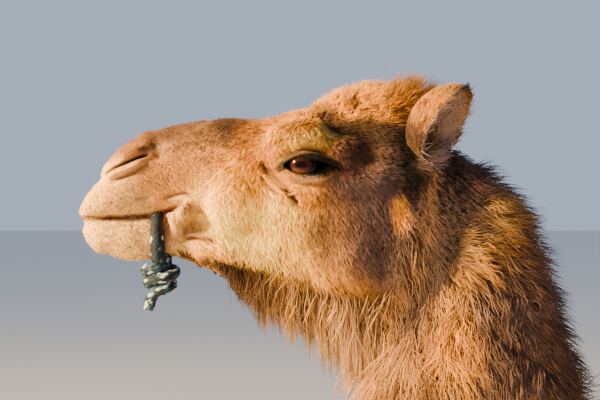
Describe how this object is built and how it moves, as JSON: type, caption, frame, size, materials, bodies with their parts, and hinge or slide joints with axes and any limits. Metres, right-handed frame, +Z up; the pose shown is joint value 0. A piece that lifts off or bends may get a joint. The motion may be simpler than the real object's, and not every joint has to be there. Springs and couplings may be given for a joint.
{
  "type": "dromedary camel",
  "caption": "Still, life-size standing dromedary camel with a shaggy neck, a single hump and a rope noose round its lower jaw, for museum-style display.",
  "frame": {"origin": "on the ground under the middle of the whole animal's box", "axes": "+Z up, +X from the head towards the tail, so the animal looks along -X, and +Y towards its right side"},
  "size_m": [2.6086, 0.5992, 2.0518],
  "materials": {
    "coat_short": "short matt tan hair, lying flat",
    "coat_long": "long shaggy brown wool with dark tips",
    "eye": "wet dark brown eye",
    "nail": "blunt dark horn",
    "rope": "twisted blue-green fibre rope, faded"
  },
  "bodies": {
    "root": {"beard": "coat_long", "ear_left": "coat_short", "ear_right": "coat_short", "eye_left": "eye", "eye_right": "eye", "forefoot_left": "coat_short", "forefoot_right": "coat_short", "foreleg_left_lower": "coat_short", "foreleg_left_upper": "coat_short", "foreleg_right_lower": "coat_short", "foreleg_right_upper": "coat_short", "head": "coat_short", "hindfoot_left": "coat_short", "hindfoot_right": "coat_short", "hindleg_left_lower": "coat_short", "hindleg_left_upper": "coat_short", "hindleg_right_lower": "coat_short", "hindleg_right_upper": "coat_short", "hump": "coat_long", "lower_jaw": "coat_short", "nail_forefoot_left_inner": "nail", "nail_forefoot_left_outer": "nail", "nail_forefoot_right_inner": "nail", "nail_forefoot_right_outer": "nail", "nail_hindfoot_left_inner": "nail", "nail_hindfoot_left_outer": "nail", "nail_hindfoot_right_inner": "nail", "nail_hindfoot_right_outer": "nail", "neck_lower": "coat_long", "neck_middle": "coat_long", "neck_upper": "coat_long", "rope_jaw_loop": "rope", "rope_knot": "rope", "tail": "coat_short", "tail_tuft": "coat_long", "trunk": "coat_short"}
  },
  "joints": []
}
